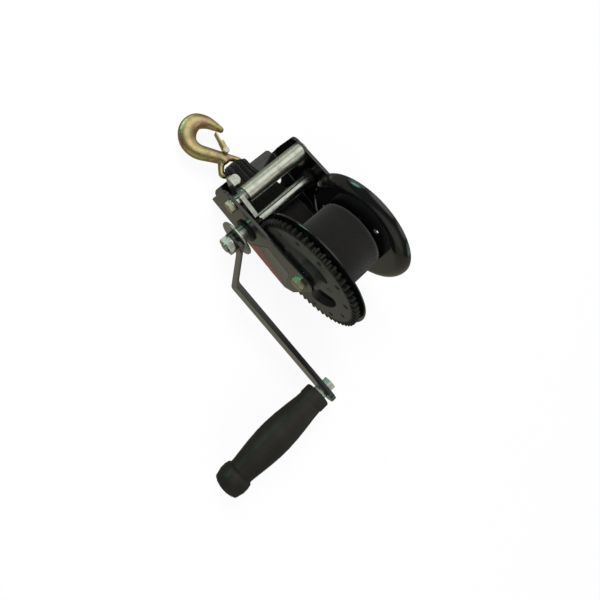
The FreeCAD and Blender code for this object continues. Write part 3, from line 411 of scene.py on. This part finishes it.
def add_mesh(name, verts, faces, uvs=None):
    """A smooth object from vertices in mm, with one UV for each vertex if given."""
    mesh = bpy.data.meshes.new(name)
    mesh.from_pydata([tuple(c * MM for c in v) for v in verts], [], faces)
    mesh.validate()
    if uvs is not None:
        layer = mesh.uv_layers.new(name="UVMap")
        for loop in mesh.loops:
            layer.data[loop.index].uv = uvs[loop.vertex_index]
    obj = link_object(name, mesh)
    bm = bmesh.new()
    bm.from_mesh(mesh)
    bmesh.ops.recalc_face_normals(bm, faces=bm.faces)
    bm.to_mesh(mesh)
    bm.free()
    shade_smooth(mesh)
    return obj


def ribbon(name, rows, across, thick):
    """Closed strip of webbing, thinner at its two edges.

    rows: (length so far, [(point, normal) for each column]); across: V for each column.
    """
    verts, uvs, faces = [], [], []
    columns = len(across)
    ring = 2 * columns
    for length, line in rows:
        for side, order in ((1, range(columns)), (-1, range(columns - 1, -1, -1))):
            for j in order:
                point, normal = line[j]
                offset = side * thick * (0.5 if 0 < j < columns - 1 else 0.32)
                verts.append(tuple(p + n * offset for p, n in zip(point, normal)))
                uvs.append((length, across[j]))
    for i in range(len(rows) - 1):
        for j in range(ring):
            a, b = i * ring + j, i * ring + (j + 1) % ring
            faces.append((a, b, b + ring, a + ring))
    for base, step in ((0, -1), ((len(rows) - 1) * ring, 1)):
        for j in range(columns - 1):
            quad = (base + j, base + j + 1, base + ring - 2 - j, base + ring - 1 - j)
            faces.append(quad[::step])
    return add_mesh(name, verts, faces, uvs)


def spread(count, half):
    return [-half + 2 * half * i / (count - 1) for i in range(count)]


def ripple(x, y, seed):
    return noise.noise(Vector((x, y, seed)))


# ---------------------------------------------------------------- wound strap
STRAP_HALF = 24.0
COIL_HALF = 23.4  # half width as wound
COIL_TURNS = 8.0
COIL_STEPS = int(COIL_TURNS * 64)
COIL_INNER, COIL_OUTER = 20.1, 34.95  # radii to the middle of the first and last layer
COIL_THICK = 1.72
COIL_END = math.radians(-100.0)  # angle of the outer end
COIL_DRIFT_X, COIL_DRIFT_Z = 1.8, -1.2  # the outermost layer's shift off the drum axis
COIL_SIDE = 0.6  # shift along Y


def coil_rows(across):
    """One spiral strip in layers, each layer wandering a little sideways."""
    rows, length = [], 0.0
    for i in range(COIL_STEPS + 1):
        t = i / COIL_STEPS
        angle = COIL_END - 2 * math.pi * COIL_TURNS * (1 - t)
        radius = COIL_INNER + (COIL_OUTER - COIL_INNER) * t
        wander = 0.16 * math.sin(angle * 0.31 + 1.0) + 0.10 * math.sin(angle * 0.83)
        # the inner layers lie round the core, the outer ones drift off centre
        x, z = DRUM_X + COIL_DRIFT_X * t, DRUM_Z + COIL_DRIFT_Z * t
        out_x, out_z = math.cos(angle), math.sin(angle)
        line = []
        for v in across:
            # broad and fine waves
            sag = 0.16 * ripple(v * 0.11, angle * 0.9, seed=3.0)
            sag += 0.08 * ripple(v * 0.3, angle * 2.1, seed=7.0)
            # the edges dip slightly
            r = radius + sag - 0.10 * abs(v / STRAP_HALF) ** 6
            point = (x + r * out_x, v + wander + COIL_SIDE, z + r * out_z)
            line.append((point, (out_x, 0.0, out_z)))
        rows.append((length, line))
        length += radius * 2 * math.pi * COIL_TURNS / COIL_STEPS
    return rows


coil_columns = spread(15, COIL_HALF)
coil = ribbon("webbing_coil", coil_rows(coil_columns), coil_columns, COIL_THICK)
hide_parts("strap_coil")
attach(coil, "drum")
put_on(coil, WEBBING)

# ---------------------------------------------------------------- free strap
# off the bottom of the coil, gathered towards the hook, round the bar and back underneath
RUN_THICK = 1.7
LEAVE_RADIUS = 39.2  # round the drum axis
LEAVE_ANGLES = (236.0, 248.0, 259.0)

# x, z, centre y, half width, fold height
OUTWARD = [
    (-60.0, 23.75, 0.6, 23.4, 0.0), (-50.0, 23.5, 0.6, 23.4, 0.0), (-36.0, 23.1, 0.8, 23.4, 0.05),
    (-20.0, 22.5, 1.4, 23.2, 0.1), (-4.0, 21.8, 2.6, 22.4, 0.15), (10.0, 21.0, 4.2, 20.8, 0.25),
    (22.0, 20.7, 6.0, 18.6, 0.45), (33.0, 20.8, 7.8, 15.4, 0.75), (41.0, 21.8, 8.8, 13.2, 0.95),
    (46.0, 22.9, 9.2, 12.4, 1.0)]
# angle and radius round the bar, centre y, half width, fold height
ROUND_BAR = [
    (96.0, 6.7, 9.4, 12.0, 1.0), (76.0, 6.8, 9.8, 11.4, 1.0), (56.0, 6.2, 10.6, 9.4, 0.9),
    (36.0, 5.4, 11.4, 7.2, 0.75), (14.0, 4.85, 12.0, 5.3, 0.6), (-10.0, 4.8, 12.0, 5.0, 0.55),
    (-34.0, 4.8, 12.0, 5.4, 0.6), (-58.0, 4.9, 12.0, 6.6, 0.7), (-82.0, 5.1, 11.8, 8.0, 0.9)]
# x, z, centre y, half width, fold height
RETURN = [
    (45.0, 12.5, 10.6, 10.2, 1.0), (39.0, 14.6, 9.2, 12.6, 0.9), (31.0, 16.9, 7.4, 15.2, 0.6),
    (22.0, 17.9, 5.8, 17.6, 0.4), (12.0, 18.2, 4.4, 19.6, 0.3)]


def polar(x, z, radius, degrees):
    angle = math.radians(degrees)
    return x + radius * math.cos(angle), z + radius * math.sin(angle)


def smooth_stations(points, steps):
    """Catmull-Rom curve through the points, with so many steps between each two."""
    out = []
    for i in range(len(points) - 1):
        four = (points[max(i - 1, 0)], points[i], points[i + 1],
                points[min(i + 2, len(points) - 1)])
        for k in range(steps):
            t = k / steps
            out.append(tuple(
                0.5 * (2 * b + (c - a) * t + (2 * a - 5 * b + 4 * c - d) * t * t
                       + (3 * b - a - 3 * c + d) * t ** 3)
                for a, b, c, d in zip(*four)))
    out.append(tuple(points[-1]))
    return out


def neighbours(items, i):
    return items[max(i - 1, 0)], items[min(i + 1, len(items) - 1)]


def gathered_rows(stations, across):
    rows, length = [], 0.0
    for i, (x, z, centre, half, fold) in enumerate(stations):
        before, after = neighbours(stations, i)
        dx, dz = after[0] - before[0], after[1] - before[1]
        size = math.hypot(dx, dz)
        normal_x, normal_z = -dz / size, dx / size
        line = []
        for v in across:
            f = v / STRAP_HALF
            # uneven gathers: a few broad folds with smaller ones between
            phase = 2 * math.pi * (2.6 * f + 0.25 * math.sin(3.0 * f + 0.02 * length)) + 0.5
            lift = fold * (0.72 * math.sin(phase) + 0.28 * math.sin(2.3 * phase + 0.9))
            lift += 0.22 * ripple(v * 0.16, length * 0.07, seed=5.0)
            # the outer edges roll over towards the hook's arms
            lift -= fold * 0.9 * abs(f) ** 5
            y = centre + half * math.copysign(abs(f) ** 0.94, f)
            line.append((x + normal_x * lift, y, z + normal_z * lift))
        rows.append((length, line))
        if i + 1 < len(stations):
            length += math.hypot(stations[i + 1][0] - x, stations[i + 1][1] - z)
    return rows


def with_normals(rows):
    out = []
    for i, (length, line) in enumerate(rows):
        (_, before), (_, after) = neighbours(rows, i)
        points = []
        for j, point in enumerate(line):
            left, right = neighbours(line, j)
            along = Vector(after[j]) - Vector(before[j])
            crosswise = Vector(right) - Vector(left)
            points.append((point, tuple(along.cross(crosswise).normalized())))
        out.append((length, points))
    return out


leaving = [(*polar(DRUM_X, DRUM_Z, LEAVE_RADIUS, degrees), COIL_SIDE, COIL_HALF, 0.0)
           for degrees in LEAVE_ANGLES]
looping = [(*polar(BAR_X, BAR_Z, radius, degrees), *rest)
           for degrees, radius, *rest in ROUND_BAR]
run_stations = smooth_stations(leaving + OUTWARD + looping + RETURN, steps=7)
run_columns = spread(61, STRAP_HALF)
run_rows = with_normals(gathered_rows(run_stations, run_columns))
run = ribbon("webbing_run", run_rows, run_columns, RUN_THICK)
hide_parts("strap_run")
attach(run, "frame_body")
put_on(run, WEBBING)

# ---------------------------------------------------------------- sewing
# lines of thread on the upper layer of the doubled part
SEWN_X = (14.0, 40.0)
SEWN_ABOVE_Z = 20.0
SEWN_COLUMNS = (8, 16, 24, 36, 44, 52)
STITCH_REACH = 0.42  # half a stitch, as a share of the row spacing
THREAD_RADIUS = 0.34
THREAD_HEIGHT, THREAD_ARCH, THREAD_DIP = 0.95, 0.28, 0.35  # above mid strap; arch; end dip
THREAD_END = 0.45  # thickness left at the ends
THREAD_STEPS, THREAD_SIDES = 6, 6


def stitch(verts, faces, start, end, normal):
    """Add one thread stitch: a short arched tube from start to end."""
    side = (end - start).normalized().cross(normal).normalized()
    base = len(verts)
    for i in range(THREAD_STEPS + 1):
        t = i / THREAD_STEPS
        at_end = i in (0, THREAD_STEPS)
        height = (THREAD_HEIGHT + THREAD_ARCH * math.sin(math.pi * t)
                  - (THREAD_DIP if at_end else 0.0))
        centre = start.lerp(end, t) + normal * height
        taper = THREAD_END if at_end else 1.0
        for q in range(THREAD_SIDES):
            w = 2 * math.pi * q / THREAD_SIDES
            around = side * math.cos(w) + normal * math.sin(w)
            verts.append(tuple(centre + around * THREAD_RADIUS * taper))
    for i in range(THREAD_STEPS):
        for q in range(THREAD_SIDES):
            a = base + i * THREAD_SIDES + q
            b = base + i * THREAD_SIDES + (q + 1) % THREAD_SIDES
            faces.append((a, b, b + THREAD_SIDES, a + THREAD_SIDES))
    last = base + THREAD_STEPS * THREAD_SIDES
    faces.append(tuple(base + q for q in range(THREAD_SIDES))[::-1])
    faces.append(tuple(last + q for q in range(THREAD_SIDES)))


def sew(rows):
    verts, faces = [], []
    for column in SEWN_COLUMNS:
        for (_, line), (_, next_line) in zip(rows, rows[1:]):
            (a, normal_a), (b, normal_b) = [
                map(Vector, near[column]) for near in (line, next_line)]
            middle = a.lerp(b, 0.5)
            reach = (b - a) * STITCH_REACH
            normal = normal_a.lerp(normal_b, 0.5)
            if normal.z < 0:
                normal = -normal
            stitch(verts, faces, middle - reach, middle + reach, normal)
    return add_mesh("webbing_stitches", verts, faces)


sewn_rows = [row for row, (x, z, *_) in zip(run_rows, run_stations)
             if SEWN_X[0] <= x <= SEWN_X[1] and z > SEWN_ABOVE_Z]
stitches = sew(sewn_rows)
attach(stitches, "frame_body")
put_on(stitches, plastic("sewing_thread", (0.020, 0.018, 0.017), rough=0.6, grain=3800.0,
                         strength=0.5))

# ---------------------------------------------------------------- camera


def add_camera():
    data = bpy.data.cameras.new("camera")
    camera = link_object("camera", data)
    data.sensor_width = 36.0
    data.lens = 27.0
    data.clip_start = 0.01
    data.clip_end = 20.0
    place = Vector((0.0145, 0.149436, 0.434269))
    # columns: the camera's right, its up, and the way opposite to its view
    turn = Matrix(((-0.616171, 0.754998, 0.224301),
                   (-0.713986, -0.655668, 0.245609),
                   (0.332501, -0.008811, 0.943062)))
    camera.matrix_world = Matrix.Translation(place) @ turn.to_4x4()
    bpy.context.scene.camera = camera


# ---------------------------------------------------------------- floor


def floor_paper():
    """White sheet: bright to the camera with a trace of shading, dim in reflections."""
    look = Surface("floor_paper")
    look.principled(Base_Color=(0.80, 0.80, 0.80), Roughness=0.8, Specular_IOR_Level=0.1)
    glow = look.new("Emission", Color=(1.0, 1.0, 1.0), Strength=1.02)
    dim = look.new("BsdfDiffuse", Color=(0.20, 0.20, 0.19))
    sheen = look.new("Emission", Color=(0.21, 0.20, 0.155))
    glow_share = 0.90
    lit = look.new("MixShader", glow_share, look.bsdf, glow)
    ray = look.new("LightPath").outputs
    reflected = look.new("MixShader", ray["Is Glossy Ray"], dim, sheen)
    seen = look.new("MixShader", ray["Is Camera Ray"], reflected, lit)
    look.set(look.output, Surface=seen)
    return look.material


def add_floor():
    half, z = 6, -0.0004
    mesh = bpy.data.meshes.new("floor")
    corners = [(-half, -half, z), (half, -half, z), (half, half, z), (-half, half, z)]
    mesh.from_pydata(corners, [], [(0, 1, 2, 3)])
    floor = link_object("floor", mesh)
    mesh.materials.append(floor_paper())


# ---------------------------------------------------------------- studio room
# soft panels: direction, colour, strength, cosine where it starts, cosine where it is full
PANELS = [
    ((0.30, -0.28, 1.0), (0.99, 1.0, 0.93), 0.98, 0.80, 0.96),
    ((-0.60, -0.30, 0.75), (1.0, 1.0, 0.92), 0.75, 0.93, 0.98),
    ((0.95, -0.25, 0.30), (0.90, 1.0, 0.92), 0.8, 0.92, 0.98),
    ((-0.40, 0.85, 0.20), (0.80, 0.78, 0.60), 0.40, 0.70, 0.92),
    ((0.95, 0.12, 0.30), (0.32, 1.0, 0.66), 3.8, 0.980, 0.992),
    ((-0.92, -0.35, 0.15), (0.50, 1.0, 0.80), 0.9, 0.93, 0.98),
    ((0.10, -0.95, 0.30), (0.95, 0.98, 1.0), 0.45, 0.85, 0.96)]
WALLS = (0.050, 0.052, 0.050)


def add_room():
    """Dark walls and panels in reflections, even light on surfaces, white to the camera."""
    world = bpy.data.worlds.new("studio")
    bpy.context.scene.world = world
    room = Nodes(world)
    direction = room.coordinates("Generated")
    total = None
    for towards, colour, power, start, full in PANELS:
        facing = room.dot(direction, tuple(Vector(towards).normalized()))
        share = room.remap(facing, span=(start, full), interpolation_type="SMOOTHSTEP")
        panel = room.new("VectorMath", scaled(colour, power), operation="SCALE", Scale=share)
        if total is None:
            total = panel
        else:
            total = room.new("VectorMath", total, panel, operation="ADD")
    walled = room.new("VectorMath", total, WALLS, operation="ADD")
    mirrored = room.new("Background", Color=walled)
    even = room.new("Background", Color=(0.96, 0.98, 1.0), Strength=0.50)
    white = room.new("Background", Color=(1.0, 1.0, 1.0), Strength=1.0)
    ray = room.new("LightPath").outputs
    lighting = room.new("MixShader", ray["Is Diffuse Ray"], mirrored, even)
    seen = room.new("MixShader", ray["Is Camera Ray"], lighting, white)
    room.new("OutputWorld", Surface=seen)


# ---------------------------------------------------------------- lamps
LAMP_TARGET = Vector((0, 0, 0.03))


def add_lamp(name, place, size, power, colour):
    """Square area lamp; it is hidden from reflections, which come from the panels alone."""
    data = bpy.data.lights.new(name, "AREA")
    data.shape = "RECTANGLE"
    data.size = data.size_y = size
    data.energy = power
    data.color = colour
    lamp = link_object(name, data)
    lamp.location = place
    lamp.rotation_mode = "QUATERNION"
    lamp.rotation_quaternion = (LAMP_TARGET - Vector(place)).to_track_quat("-Z", "Y")
    lamp.visible_glossy = False


add_camera()
add_floor()
add_room()
add_lamp("key", (0.62, -0.30, 1.15), size=0.55, power=10.0, colour=(1.0, 0.99, 0.96))
add_lamp("fill", (-0.9, 0.9, 0.9), size=0.7, power=5.0, colour=(0.95, 0.98, 1.0))

bpy.context.scene.view_settings.view_transform = "Standard"
bpy.context.scene.view_settings.look = "None"
